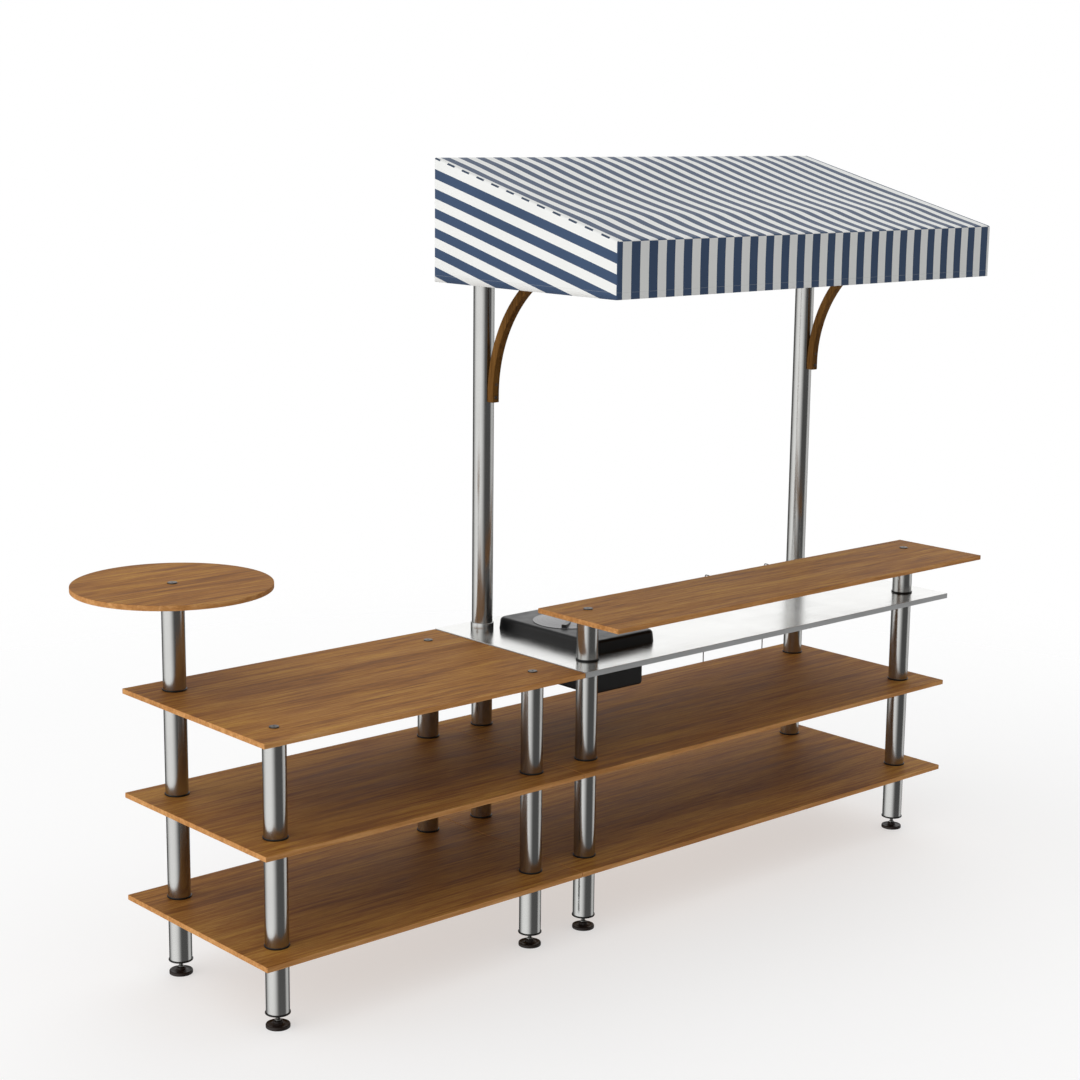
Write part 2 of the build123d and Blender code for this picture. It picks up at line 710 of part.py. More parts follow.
# Grip across the lid: one bar bent in a gentle arc, with a foot that follows the crown.
grip_low = lid_z + lid_wall
grip_top = crown(crown_radius, 0) + grip_height
aim = radians(grip_turn)
grip_swing = degrees(asin((lid_radius - grip_inset) / grip_radius))
with BuildPart() as lid_grip:
    with BuildSketch(Plane((unit_x, pan_y, grip_low), x_dir=(cos(aim), sin(aim), 0))):
        with BuildLine():
            CenterArc((0, grip_radius), grip_radius, 270 - grip_swing, 2 * grip_swing)
        trace(line_width=grip_width)
    extrude(amount=grip_top - grip_low)
    with Locations((unit_x, pan_y, crown_centre)):
        Sphere(crown_radius + grip_sink, mode=Mode.SUBTRACT)
    fillet(lid_grip.faces().sort_by(Axis.Z)[-1].edges(), radius=grip_edge)
save(lid_grip, "lid_grip")

# ---- wire hanging rail at the rear edge of the worktop ------------------------------------------------
wire_r = rail_wire / 2
rail_y = rear_y + wire_r + rail_clear
hook_z = worktop_z + wire_r
hump_z = hook_z + rail_hump
rail_low = level_2 - rail_under
wire_x0 = right_x0 + rail_left
wire_x1 = right_x0 + rail_right
with BuildPart() as hanging_rail:
    with BuildLine() as rail_line:
        FilletPolyline(
            (wire_x0, rail_y - rail_hook, hook_z),
            (wire_x0, rail_y - rail_hump_run, hump_z),
            (wire_x0, rail_y, hump_z),
            (wire_x0, rail_y, rail_low),
            (wire_x1, rail_y, rail_low),
            (wire_x1, rail_y, hump_z),
            (wire_x1, rail_y - rail_hump_run, hump_z),
            (wire_x1, rail_y - rail_hook, hook_z),
            radius=rail_bend,
        )
    tip_rise = (0, rail_hook - rail_hump_run, rail_hump)
    with BuildSketch(Plane((wire_x0, rail_y - rail_hook, hook_z), x_dir=(1, 0, 0), z_dir=tip_rise)):
        Circle(wire_r)
    sweep(path=rail_line.wires()[0])
save(hanging_rail, "hanging_rail")
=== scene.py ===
from math import asin, atan2, cos, hypot, pi, radians, sin, tan

import bmesh
import bpy
from mathutils import Matrix, Vector, noise


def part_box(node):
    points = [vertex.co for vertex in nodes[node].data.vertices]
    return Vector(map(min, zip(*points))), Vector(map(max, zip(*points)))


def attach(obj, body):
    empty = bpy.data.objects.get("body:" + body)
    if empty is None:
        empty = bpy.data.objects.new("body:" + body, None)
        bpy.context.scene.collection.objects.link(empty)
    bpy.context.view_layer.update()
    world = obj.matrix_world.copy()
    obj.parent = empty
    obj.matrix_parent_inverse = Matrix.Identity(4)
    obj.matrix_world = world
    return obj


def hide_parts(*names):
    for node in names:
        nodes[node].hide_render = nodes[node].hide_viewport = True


# A free-standing concession counter on levelling feet: a low module with a round side table, and a tall
# module with a stainless worktop, a raised shelf, a drop-in well and a striped awning on two posts.
# Everything is in metres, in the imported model's frame.

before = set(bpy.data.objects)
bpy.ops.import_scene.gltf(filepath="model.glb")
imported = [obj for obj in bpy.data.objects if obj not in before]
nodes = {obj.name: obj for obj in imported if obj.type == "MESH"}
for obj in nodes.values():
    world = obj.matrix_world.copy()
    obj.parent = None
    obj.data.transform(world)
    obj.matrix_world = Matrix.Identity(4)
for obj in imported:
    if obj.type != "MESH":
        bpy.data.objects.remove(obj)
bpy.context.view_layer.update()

BODY = "counter"
MM = 0.001


# ---- makers --------------------------------------------------------------------------------------------
def middle(name):
    """Middle point of a CAD node's box."""
    low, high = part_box(name)
    return (low + high) / 2


def cuboid(mesh, low, high):
    """A box between two corners."""
    low, high = Vector(low), Vector(high)
    place = Matrix.Translation((low + high) / 2) @ Matrix.Diagonal((*(high - low), 1))
    return bmesh.ops.create_cube(mesh, size=1, matrix=place)["verts"]


def upright(mesh):
    """Edges of a mesh that join two heights."""
    return [edge for edge in mesh.edges if abs(edge.verts[0].co.z - edge.verts[1].co.z) > MM]


def only(kind, parts):
    """The vertices or the edges among an operator's results."""
    return [part for part in parts if isinstance(part, kind)]


def top_face(mesh):
    """The highest face of a mesh."""
    return max(mesh.faces, key=lambda face: face.calc_center_median().z)


def everything(mesh):
    """All of a mesh, as an operator takes it."""
    return mesh.verts[:] + mesh.edges[:] + mesh.faces[:]


def ease(mesh, radius, edges=None, segments=3, over=40):
    """Round the edges that turn by more than so many degrees."""
    sharp = [
        edge for edge in (mesh.edges if edges is None else edges)
        if edge.is_manifold and edge.calc_face_angle() > radians(over)
    ]
    bmesh.ops.bevel(mesh, geom=sharp, offset=radius, offset_type="OFFSET", segments=segments,
                    profile=0.5, affect="EDGES", clamp_overlap=True, material=-1)


def turned(mesh, profile, place, segments=64, closed=False, hexagon=None):
    """Spin a profile of (radius, height) points about the upright axis of a place."""
    turning = bmesh.new()
    points = [turning.verts.new((radius, 0, height)) for radius, height in profile]
    edges = [turning.edges.new(pair) for pair in zip(points, points[1:])]
    if closed:
        edges.append(turning.edges.new((points[-1], points[0])))
    bmesh.ops.spin(turning, geom=points + edges, cent=(0, 0, 0), axis=(0, 0, 1), angle=2 * pi,
                   steps=segments, use_merge=True)
    bmesh.ops.remove_doubles(turning, verts=turning.verts, dist=1e-6)
    if hexagon:
        for vert in turning.verts:
            reach = hypot(vert.co.x, vert.co.y)
            if 0 < reach < hexagon * 1.01:
                around = (atan2(vert.co.y, vert.co.x) + radians(30)) % radians(60) - radians(30)
                vert.co.xy *= cos(radians(30)) / cos(around)
    bmesh.ops.recalc_face_normals(turning, faces=turning.faces)
    bmesh.ops.transform(turning, matrix=place, verts=turning.verts)
    part = bpy.data.meshes.new("turning")
    turning.to_mesh(part)
    turning.free()
    mesh.from_mesh(part)
    bpy.data.meshes.remove(part)


def piece(mesh, name, finishes, body=BODY, stands_for=(), sharp=35, weighted=False, wall=0.0):
    """Make a finished piece from a bmesh: its materials, its shading and the body that it moves with."""
    data = bpy.data.meshes.new(name)
    mesh.to_mesh(data)
    mesh.free()
    data.shade_smooth()
    data.set_sharp_from_angle(angle=radians(sharp))
    made = bpy.data.objects.new(name, data)
    bpy.context.scene.collection.objects.link(made)
    for finish in finishes:
        data.materials.append(finish)
    if wall:
        made.modifiers.new("wall", "SOLIDIFY").thickness = wall
        made.modifiers["wall"].offset = -1
    if weighted:
        made.modifiers.new("shading", "WEIGHTED_NORMAL").keep_sharp = True
    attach(made, body)
    if stands_for:
        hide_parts(*stands_for)
    return made


# ---- materials -----------------------------------------------------------------------------------------
def colour(hex_code):
    """Linear colour of an sRGB hex code."""
    parts = [int(hex_code[i:i + 2], 16) / 255 for i in (1, 3, 5)]
    return (*[c / 12.92 if c <= 0.04045 else ((c + 0.055) / 1.055) ** 2.4 for c in parts], 1.0)


def add(tree, kind, inputs=None, **settings):
    """Add a node with its settings, and its inputs by name or number: a value, or a socket to link."""
    made = tree.nodes.new(kind)
    for key, value in settings.items():
        setattr(made, key, value)
    for key, value in (inputs or {}).items():
        if isinstance(value, bpy.types.NodeSocket):
            tree.links.new(value, made.inputs[key])
        else:
            made.inputs[key].default_value = value
    return made


def surface(name, inputs):
    """A material whose surface is one Principled shader with these inputs."""
    made = bpy.data.materials[name]
    tree = made.node_tree
    shader = add(tree, "ShaderNodeBsdfPrincipled", inputs)
    add(tree, "ShaderNodeOutputMaterial", {"Surface": shader.outputs[0]})
    return made


def blank(name):
    """An empty material's node tree, and its object coordinates."""
    made = bpy.data.materials.new(name)
    made.use_nodes = True
    made.node_tree.nodes.clear()
    return made.node_tree, add(made.node_tree, "ShaderNodeTexCoord").outputs["Object"]


def wood(name, dark, mid, light, roughness, shine=0.12, grain_axis=(1, 0, 0)):
    """Wood with broad bands, streaks, fine fibres and short open pores along its grain."""
    tree, place = blank(name)
    # Bands 70 mm wide and a metre long, streaks 11 mm wide, fibres 2 mm wide, pores 0.8 mm wide.
    layers = {}
    for label, long, wide, detail, warp in (
        ("bands", 1.2, 14, 2, 0.8), ("streaks", 4.0, 90, 6, 0.5), ("fibres", 16, 520, 2, 0.0),
        ("pores", 40, 1300, 0, 0.0),
    ):
        scale = [long if component > 0.5 else wide for component in grain_axis]
        stretched = add(tree, "ShaderNodeMapping", {"Vector": place, "Scale": scale})
        layers[label] = add(tree, "ShaderNodeTexNoise", {
            "Vector": stretched.outputs[0], "Scale": 1.0, "Detail": detail, "Distortion": warp,
        }).outputs["Fac"]
    streaky = add(tree, "ShaderNodeMix", {0: 0.6, 2: layers["bands"], 3: layers["streaks"]}).outputs[0]
    figure = add(tree, "ShaderNodeMix", {0: 0.25, 2: streaky, 3: layers["fibres"]}).outputs[0]
    darker = add(tree, "ShaderNodeMapRange", {0: figure, 1: 0.4, 2: 0.5, 3: 0.0, 4: 1.0}).outputs[0]
    lighter = add(tree, "ShaderNodeMapRange", {0: figure, 1: 0.5, 2: 0.61, 3: 0.0, 4: 1.0}).outputs[0]
    body = add(tree, "ShaderNodeMix", {0: darker, 6: colour(dark), 7: colour(mid)}, data_type="RGBA").outputs[2]
    body = add(tree, "ShaderNodeMix", {0: lighter, 6: body, 7: colour(light)}, data_type="RGBA").outputs[2]
    open_pore = add(tree, "ShaderNodeMapRange", {
        0: layers["pores"], 1: 0.6, 2: 0.72, 3: 0.0, 4: 0.55,
    }).outputs[0]
    body = add(tree, "ShaderNodeMix", {0: open_pore, 6: body, 7: colour(dark)}, data_type="RGBA").outputs[2]
    bump = add(tree, "ShaderNodeBump", {"Strength": 0.2, "Distance": 0.15 * MM, "Height": figure})
    satin = add(tree, "ShaderNodeMapRange", {
        0: layers["streaks"], 1: 0.3, 2: 0.7, 3: roughness - 0.05, 4: roughness + 0.08,
    })
    return surface(name, {
        "Base Color": body, "Roughness": satin.outputs[0], "Normal": bump.outputs[0],
        "Specular IOR Level": shine,
    })


# Teak veneer, oiled to satin: brown with long darker and lighter streaks and short dark pores.
veneer = wood("teak_veneer_oiled", "#77491c", "#9c6930", "#b58640", 0.6, 0.08)
# Solid lipping glued round the boards: the same wood, pale where it was sawn across.
lipping = wood("teak_lipping_sanded", "#a8733f", "#c08850", "#d39f66", 0.65)
# Steam-bent ash, stained and oiled: darker than the boards, grain along the arm.
bent_ash = wood("bent_ash_oiled", "#4a2e10", "#6d4a20", "#80592a", 0.6, 0.05, (0, 0, 1))
# Birch plywood core, raw: pale, faintly streaked, only seen from below.
plywood = wood("birch_plywood_raw", "#a98a60", "#c7ab80", "#d8c09a", 0.7)


def metal(name, tint, roughness, spread, lay, lay_scale, bump_height):
    """Bare metal with a lay of fine lines from brushing or polishing, and faint cloudy wear."""
    tree, place = blank(name)
    lines = add(tree, "ShaderNodeTexNoise", {
        "Vector": add(tree, "ShaderNodeMapping", {"Vector": place, "Scale": lay}).outputs[0],
        "Scale": lay_scale, "Detail": 2.0,
    }).outputs["Fac"]
    clouds = add(tree, "ShaderNodeTexNoise", {"Vector": place, "Scale": 7.0, "Detail": 3.0}).outputs["Fac"]
    wear = add(tree, "ShaderNodeMix", {0: 0.5, 2: lines, 3: clouds}).outputs[0]
    rough = add(tree, "ShaderNodeMapRange", {
        0: wear, 1: 0.35, 2: 0.65, 3: roughness - spread, 4: roughness + spread,
    })
    bump = add(tree, "ShaderNodeBump", {"Strength": 0.3, "Distance": bump_height, "Height": lines})
    shade = add(tree, "ShaderNodeMix", {
        0: add(tree, "ShaderNodeMapRange", {0: wear, 1: 0.3, 2: 0.7, 3: 0.0, 4: 0.12}).outputs[0],
        6: colour(tint), 7: colour("#6f6d6a"),
    }, data_type="RGBA")
    return surface(name, {
        "Base Color": shade.outputs[2], "Metallic": 1.0, "Roughness": rough.outputs[0],
        "Normal": bump.outputs[0],
    })


# Stainless tube, satin polished round and round: soft bright and dark bands, a slight bloom.
satin_tube = metal("stainless_tube_satin", "#b2b2b0", 0.2, 0.04, (1, 1, 14), 90, 0.03 * MM)
# Stainless sheet, brushed along its length: blurred reflections, slightly drawn out.
brushed_sheet = metal("stainless_sheet_brushed", "#dededc", 0.22, 0.05, (1, 60, 60), 12, 0.03 * MM)
# The sheet's folded skirt, ground matt after bending: an even mid grey.
ground_skirt = metal("stainless_skirt_ground", "#c4c5c5", 0.55, 0.05, (1, 60, 60), 12, 0.03 * MM)
# Stainless pressing for the pan.
pressed_steel = metal("stainless_pan_pressed", "#c9c9c6", 0.3, 0.05, (40, 40, 2), 12, 0.03 * MM)
# Zinc-plated steel fasteners: grey, a little cloudy.
zinc = metal("zinc_plated_steel", "#8f8f8c", 0.38, 0.08, (1, 1, 1), 300, 0.05 * MM)
# Chemically darkened steel caps and screws.
dark_steel = metal("blackened_steel", "#56514d", 0.42, 0.08, (1, 1, 1), 300, 0.04 * MM)
# Extruded aluminium, satin anodised: light grey, fine lines along the bar.
anodised = metal("aluminium_anodised", "#b9bbbd", 0.4, 0.05, (2, 80, 80), 10, 0.03 * MM)


def moulded(name, tint, roughness, coat=0.0, grit=1800, depth=0.05 * MM):
    """Moulded, painted or cast finish: one tint, slightly mottled, with a fine grit."""
    tree, place = blank(name)
    fine = add(tree, "ShaderNodeTexNoise", {"Vector": place, "Scale": grit, "Detail": 1.0}).outputs["Fac"]
    broad = add(tree, "ShaderNodeTexNoise", {"Vector": place, "Scale": 25.0, "Detail": 3.0}).outputs["Fac"]
    amount = add(tree, "ShaderNodeMapRange", {0: broad, 1: 0.35, 2: 0.65, 3: 0.0, 4: 0.15}).outputs[0]
    tone = add(tree, "ShaderNodeMix", {0: amount, 6: colour(tint), 7: colour("#000000")}, data_type="RGBA")
    rough = add(tree, "ShaderNodeMapRange", {
        0: broad, 1: 0.3, 2: 0.7, 3: roughness - 0.05, 4: roughness + 0.05,
    })
    bump = add(tree, "ShaderNodeBump", {"Strength": 0.3, "Distance": depth, "Height": fine})
    return surface(name, {
        "Base Color": tone.outputs[2], "Roughness": rough.outputs[0], "Normal": bump.outputs[0],
        "Coat Weight": coat, "Coat Roughness": 0.15, "Specular IOR Level": 0.3,
    })


# Injection-moulded polypropylene plugs: black, dull sheen, finely spark-grained.
black_plug = moulded("polypropylene_moulded", "#171615", 0.42)
# Moulded rubber-like foot: very dark brown, soft sheen.
foot_rubber = moulded("rubber_foot_moulded", "#221712", 0.5, 0.0, 900, 0.08 * MM)
# Housing of glass-filled plastic, near black: soft streaks of light along its rounded edge.
housing_black = moulded("housing_satin_moulded", "#070708", 0.4, 0.0, 1500, 0.02 * MM)
# Stove enamel on the case: near black, satin, orange peel a few millimetres across.
case_enamel = moulded("case_enamel_sprayed", "#090909", 0.5, 0.0, 400, 0.05 * MM)
# Moulded phenolic grip: black, satin.
grip_black = moulded("phenolic_grip_moulded", "#121212", 0.3, 0.2)


def lid_finish():
    """Spun stainless lid: rings left by the lathe round its middle, a soft satin bloom."""
    name = "stainless_lid_spun"
    tree, place = blank(name)
    centre = middle("well_lid")
    local = add(tree, "ShaderNodeMapping", {"Vector": place, "Location": (-centre.x, -centre.y, 0)}).outputs[0]
    apart = add(tree, "ShaderNodeSeparateXYZ", {0: local})
    flat = add(tree, "ShaderNodeCombineXYZ", {0: apart.outputs[0], 1: apart.outputs[1]}).outputs[0]
    reach = add(tree, "ShaderNodeVectorMath", {0: flat}, operation="LENGTH").outputs["Value"]
    # Lathe rings 1.5 mm apart: drawn coarser than the real 0.3 mm, so that they show.
    rings = add(tree, "ShaderNodeTexNoise", {
        "Vector": add(tree, "ShaderNodeCombineXYZ", {0: reach}).outputs[0], "Scale": 650.0, "Detail": 1.0,
    }).outputs["Fac"]
    bump = add(tree, "ShaderNodeBump", {"Strength": 0.25, "Distance": 0.05 * MM, "Height": rings})
    rough = add(tree, "ShaderNodeMapRange", {0: rings, 1: 0.3, 2: 0.7, 3: 0.26, 4: 0.34})
    return surface(name, {
        "Base Color": colour("#6a696a"), "Metallic": 1.0, "Roughness": rough.outputs[0],
        "Normal": bump.outputs[0],
    })


spun_lid = lid_finish()


def canvas_finish():
    """Awning canvas, woven and dyed in stripes: matt, with a stitched hem and bound edges."""
    name = "awning_canvas_striped"
    tree, place = blank(name)
    cut = add(tree, "ShaderNodeSeparateXYZ", {0: add(tree, "ShaderNodeUVMap", uv_map="cut").outputs[0]})
    phase = add(tree, "ShaderNodeMath", {0: cut.outputs[0]}, operation="FRACT").outputs[0]
    striped = add(tree, "ShaderNodeMath", {0: phase, 1: 0.5}, operation="LESS_THAN").outputs[0]
    fade = add(tree, "ShaderNodeTexNoise", {"Vector": place, "Scale": 3.0, "Detail": 4.0}).outputs["Fac"]
    blue = add(tree, "ShaderNodeMix", {0: fade, 6: colour("#33455f"), 7: colour("#3e5372")}, data_type="RGBA")
    white = add(tree, "ShaderNodeMix", {0: fade, 6: colour("#e0e2e0"), 7: colour("#eeeeec")}, data_type="RGBA")
    cloth = add(tree, "ShaderNodeMix", {0: striped, 6: white.outputs[2], 7: blue.outputs[2]}, data_type="RGBA")
    # Plain weave with ribs 5 mm apart up the cloth and 10 mm along it: far coarser than real, so that it shows.
    weave = [add(tree, "ShaderNodeTexWave", {"Vector": place, "Scale": 62.0, "Distortion": 0.4},
                 bands_direction=run).outputs["Fac"] for run in ("DIAGONAL", "Z")]
    threads = add(tree, "ShaderNodeMath", {0: weave[0], 1: weave[1]}, operation="MULTIPLY").outputs[0]
    # A row of stitches, one every 5 mm, holds the hem, 21 mm up.
    place_parts = add(tree, "ShaderNodeSeparateXYZ", {0: place})
    along = add(tree, "ShaderNodeMath", {0: place_parts.outputs[0], 1: place_parts.outputs[1]}).outputs[0]
    count = add(tree, "ShaderNodeMath", {0: along, 1: 1 / (5 * MM)}, operation="MULTIPLY").outputs[0]
    step = add(tree, "ShaderNodeMath", {0: count}, operation="FRACT").outputs[0]
    dashes = add(tree, "ShaderNodeMath", {0: step, 1: 0.7}, operation="LESS_THAN").outputs[0]
    row = add(tree, "ShaderNodeMath", {0: cut.outputs[1], 1: 21 * MM, 2: 0.6 * MM},
              operation="COMPARE").outputs[0]
    seam = add(tree, "ShaderNodeMath", {0: row, 1: dashes}, operation="MULTIPLY").outputs[0]
    seen = add(tree, "ShaderNodeMath", {0: seam, 1: 0.4}, operation="MULTIPLY").outputs[0]
    cloth = add(tree, "ShaderNodeMix", {0: seen, 6: cloth.outputs[2], 7: colour("#b9bcbc")}, data_type="RGBA")
    # Binding sewn over the gables' sloping edges: white tape with a dark dash every 72 mm.
    beat = add(tree, "ShaderNodeMath", {0: place_parts.outputs[1], 1: 1 / (72 * MM)},
               operation="MULTIPLY").outputs[0]
    beat = add(tree, "ShaderNodeMath", {0: beat}, operation="FRACT").outputs[0]
    dash = add(tree, "ShaderNodeMath", {0: beat, 1: 0.5}, operation="LESS_THAN").outputs[0]
    bound = add(tree, "ShaderNodeAttribute", attribute_name="binding").outputs["Fac"]
    taped = add(tree, "ShaderNodeMix", {0: dash, 6: colour("#e4e5e3"), 7: colour("#39475a")}, data_type="RGBA")
    cloth = add(tree, "ShaderNodeMix", {0: bound, 6: cloth.outputs[2], 7: taped.outputs[2]}, data_type="RGBA")
    raised = add(tree, "ShaderNodeMath", {0: threads, 1: seam}).outputs[0]
    bump = add(tree, "ShaderNodeBump", {"Strength": 0.35, "Distance": 0.2 * MM, "Height": raised})
    return surface(name, {
        "Base Color": cloth.outputs[2], "Roughness": 0.85, "Normal": bump.outputs[0],
        "Sheen Weight": 0.35, "Sheen Roughness": 0.3, "Specular IOR Level": 0.3,
    })


canvas = canvas_finish()

# ---- boards --------------------------------------------------------------------------------------------
board_corner = 2 * MM
board_edge = 1.5 * MM


def board(name, node, disc=False):
    """A board with veneered faces, and lipping round its edge."""
    low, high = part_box(node)
    mesh = bmesh.new()
    if disc:
        radius = (high.x - low.x) / 2
        bmesh.ops.create_cone(mesh, cap_ends=True, segments=160, radius1=radius, radius2=radius,
                              depth=high.z - low.z, matrix=Matrix.Translation((low + high) / 2))
    else:
        cuboid(mesh, low, high)
        ease(mesh, board_corner, upright(mesh))
    standing = upright(mesh)
    ease(mesh, board_edge, [edge for edge in mesh.edges if edge not in standing])
    for face in mesh.faces:
        face.material_index = 1 if abs(face.normal.z) < 0.8 else 0
    return piece(mesh, name, [veneer, lipping], stands_for=[node], weighted=True)


for module, levels in (("a", ("bottom", "middle", "top")), ("b", ("bottom", "middle"))):
    for level in levels:
        board(f"board_{module}_{level}", f"shelf_{module}_{level}")
board("board_counter", "counter_shelf")
board("board_round_table", "round_table_top", disc=True)

# ---- posts ---------------------------------------------------------------------------------------------
tube_radius = 35 * MM
tube_wall = 2 * MM
tube_edge = 0.5 * MM
flange_radius = 37.5 * MM
flange_thick = 5 * MM
flange_edge = 1.2 * MM
leg_spigot = 60 * MM
shelf_spigot = 22 * MM
collar_radius = 39 * MM
collar_gap = 0.1 * MM
collar_edge = 1.5 * MM
spigot_radius = tube_radius - tube_wall

feet = {
    f"{module}_{corner}": middle(f"foot_pad_{module}_{corner}")
    for module in "ab"
    for corner in ("front_left", "front_right", "rear_left", "rear_right")
}
counter_posts = [feet["b_front_left"], feet["b_front_right"]]
tall_posts = {"left": feet["b_rear_left"], "right": feet["b_rear_right"]}
table_post = [feet["a_rear_left"]]


def post_tubes(name, node, places):
    """Lengths of tube with softened ends."""
    low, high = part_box(node)
    mesh = bmesh.new()
    inner = tube_radius - tube_wall
    profile = [
        (inner, low.z), (tube_radius - tube_edge, low.z), (tube_radius, low.z + tube_edge),
        (tube_radius, high.z - tube_edge), (tube_radius - tube_edge, high.z), (inner, high.z),
    ]
    for spot in places:
        turned(mesh, profile, Matrix.Translation((spot.x, spot.y, 0)), closed=True)
    return piece(mesh, name, [satin_tube], stands_for=[node], sharp=30)


post_tubes("posts_leg", "leg_tubes", feet.values())
post_tubes("posts_lower_bay", "lower_bay_tubes", feet.values())
post_tubes("posts_upper_bay", "upper_bay_tubes", feet.values())
post_tubes("post_table", "table_post_tube", table_post)
post_tubes("posts_counter", "counter_post_tubes", counter_posts)
for side, spot in tall_posts.items():
    post_tubes(f"post_awning_{side}", f"awning_post_{side}", [spot])


def plug_profile(low, spigot):
    """Rounded flange with the spigot that goes up the tube."""
    high = low + flange_thick
    shoulder = 0.35 * flange_edge
    return [
        (0, low), (flange_radius - flange_edge, low), (flange_radius - shoulder, low + shoulder),
        (flange_radius, low + flange_edge), (flange_radius, high - flange_edge),
        (flange_radius - shoulder, high - shoulder), (flange_radius - flange_edge, high),
        (spigot_radius, high), (spigot_radius, high + spigot), (0, high + spigot),
    ]


leg_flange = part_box("leg_plugs")[0].z
shelf_top = {name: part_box(node)[1].z for name, node in (
    ("bottom", "shelf_a_bottom"), ("middle", "shelf_a_middle"), ("top", "shelf_a_top"),
    ("worktop", "worktop_sheet"), ("counter", "counter_shelf"), ("table", "round_table_top"),
)}
mesh = bmesh.new()
for spot in feet.values():
    turned(mesh, plug_profile(leg_flange, leg_spigot), Matrix.Translation((spot.x, spot.y, 0)), 96)
piece(mesh, "flanges_leg", [black_plug], stands_for=["leg_plugs"], sharp=50)

mesh = bmesh.new()
for level, places in (("bottom", feet.values()), ("middle", feet.values()), ("top", table_post),
                      ("worktop", counter_posts)):
    for spot in places:
        turned(mesh, plug_profile(shelf_top[level], shelf_spigot), Matrix.Translation((spot.x, spot.y, 0)), 96)
piece(mesh, "flanges_shelf", [black_plug], stands_for=["flanged_plugs"], sharp=50)

# Steel collars round the feet of the tall posts.
low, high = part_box("awning_post_collars")
mesh = bmesh.new()
for spot in tall_posts.values():
    turned(mesh, [
        (tube_radius + collar_gap, low.z), (collar_radius, low.z), (collar_radius, high.z - collar_edge),
        (collar_radius - 0.5 * MM, high.z - 0.4 * MM), (collar_radius - collar_edge, high.z),
        (tube_radius + collar_gap, high.z),
    ], Matrix.Translation((spot.x, spot.y, 0)), 96, closed=True)
piece(mesh, "collars_awning_post", [satin_tube], stands_for=["awning_post_collars"],
      sharp=50)

# Cap nuts: a low disc with a hexagon socket, and a barrel down in the board.
cap_radius = 15 * MM
cap_thick = 3.5 * MM
barrel_radius = 9 * MM
barrel_depth = 14 * MM
socket = 3.5 * MM
mesh = bmesh.new()
caps = [(feet[key], shelf_top["top"]) for key in ("a_front_left", "a_front_right", "a_rear_right")]
caps += [(spot, shelf_top["counter"]) for spot in counter_posts] + [(table_post[0], shelf_top["table"])]
for spot, height in caps:
    turned(mesh, [
        (0, -barrel_depth), (barrel_radius, -barrel_depth), (barrel_radius, 0), (cap_radius, 0),
        (cap_radius, cap_thick - 1.2 * MM),
        (cap_radius - 0.4 * MM, cap_thick - 0.4 * MM), (cap_radius - 1.4 * MM, cap_thick),
        (8 * MM, cap_thick), (socket, cap_thick - 0.2 * MM), (socket, 1 * MM), (0, 1 * MM),
    ], Matrix.Translation((spot.x, spot.y, height)), 48, hexagon=socket)
piece(mesh, "caps_post", [dark_steel], stands_for=["cap_nuts"], sharp=40)

# ---- levelling feet ------------------------------------------------------------------------------------
foot_low, foot_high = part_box("foot_pad_a_front_left")
stem_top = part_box("foot_stem_a_front_left")[1].z
foot_radius = (foot_high.x - foot_low.x) / 2
foot_top = foot_high.z
disc_top = 11 * MM
hub_radius = 14 * MM
thread_pitch = 1.75 * MM
thread_radius = 6 * MM
thread_depth = 1 * MM
nut_radius = 10 * MM
nut_height = 4 * MM
for key, spot in feet.items():
    # A disc with a raised rim, a shallow dish and a hub in its middle.
    mesh = bmesh.new()
    turned(mesh, [
        (0, 0), (foot_radius - 1.5 * MM, 0), (foot_radius - 0.4 * MM, 0.4 * MM), (foot_radius, 1.5 * MM),
        (foot_radius, disc_top - 3 * MM), (foot_radius - 0.9 * MM, disc_top - 0.9 * MM),
        (foot_radius - 3 * MM, disc_top), (foot_radius - 5 * MM, disc_top - 0.8 * MM),
        (foot_radius - 10 * MM, disc_top - 2.2 * MM), (hub_radius + 3 * MM, disc_top - 1.5 * MM),
        (hub_radius, disc_top + 1 * MM), (hub_radius, foot_top - 1.5 * MM),
        (hub_radius - 1.5 * MM, foot_top), (0, foot_top),
    ], Matrix.Translation((spot.x, spot.y, 0)), 72)
    piece(mesh, f"foot_{key}", [foot_rubber], f"foot_{key}", [f"foot_pad_{key}"], sharp=50)

    mesh = bmesh.new()
    chain = [
        mesh.verts.new((spot.x + thread_radius - thread_depth * out, spot.y, foot_top + thread_pitch * rise))
        for out, rise in ((1, 0), (0, 0.45), (0, 0.55), (1, 1))
    ]
    chain += [mesh.edges.new(pair) for pair in zip(chain, chain[1:])]
    turns = int((stem_top - foot_top) / thread_pitch) - 1
    bmesh.ops.spin(mesh, geom=chain, cent=spot, axis=(0, 0, 1), dvec=(0, 0, thread_pitch / 20),
                   angle=2 * pi * turns, steps=20 * turns)
    bmesh.ops.remove_doubles(mesh, verts=mesh.verts, dist=1e-6)
    bmesh.ops.recalc_face_normals(mesh, faces=mesh.faces)
    core = thread_radius - thread_depth
    turned(mesh, [(0, foot_top), (core + 0.1 * MM, foot_top), (core + 0.1 * MM, stem_top), (0, stem_top)],
           Matrix.Translation((spot.x, spot.y, 0)), 24)
    nut = bmesh.ops.create_cone(mesh, cap_ends=True, segments=6, radius1=nut_radius, radius2=nut_radius,
                                depth=nut_height, matrix=Matrix.Translation(
                                    (spot.x, spot.y, foot_top + nut_height / 2)))
    ease(mesh, 0.4 * MM, {edge for vert in nut["verts"] for edge in vert.link_edges}, 2)
    piece(mesh, f"stem_{key}", [zinc], f"foot_{key}", [f"foot_stem_{key}"])

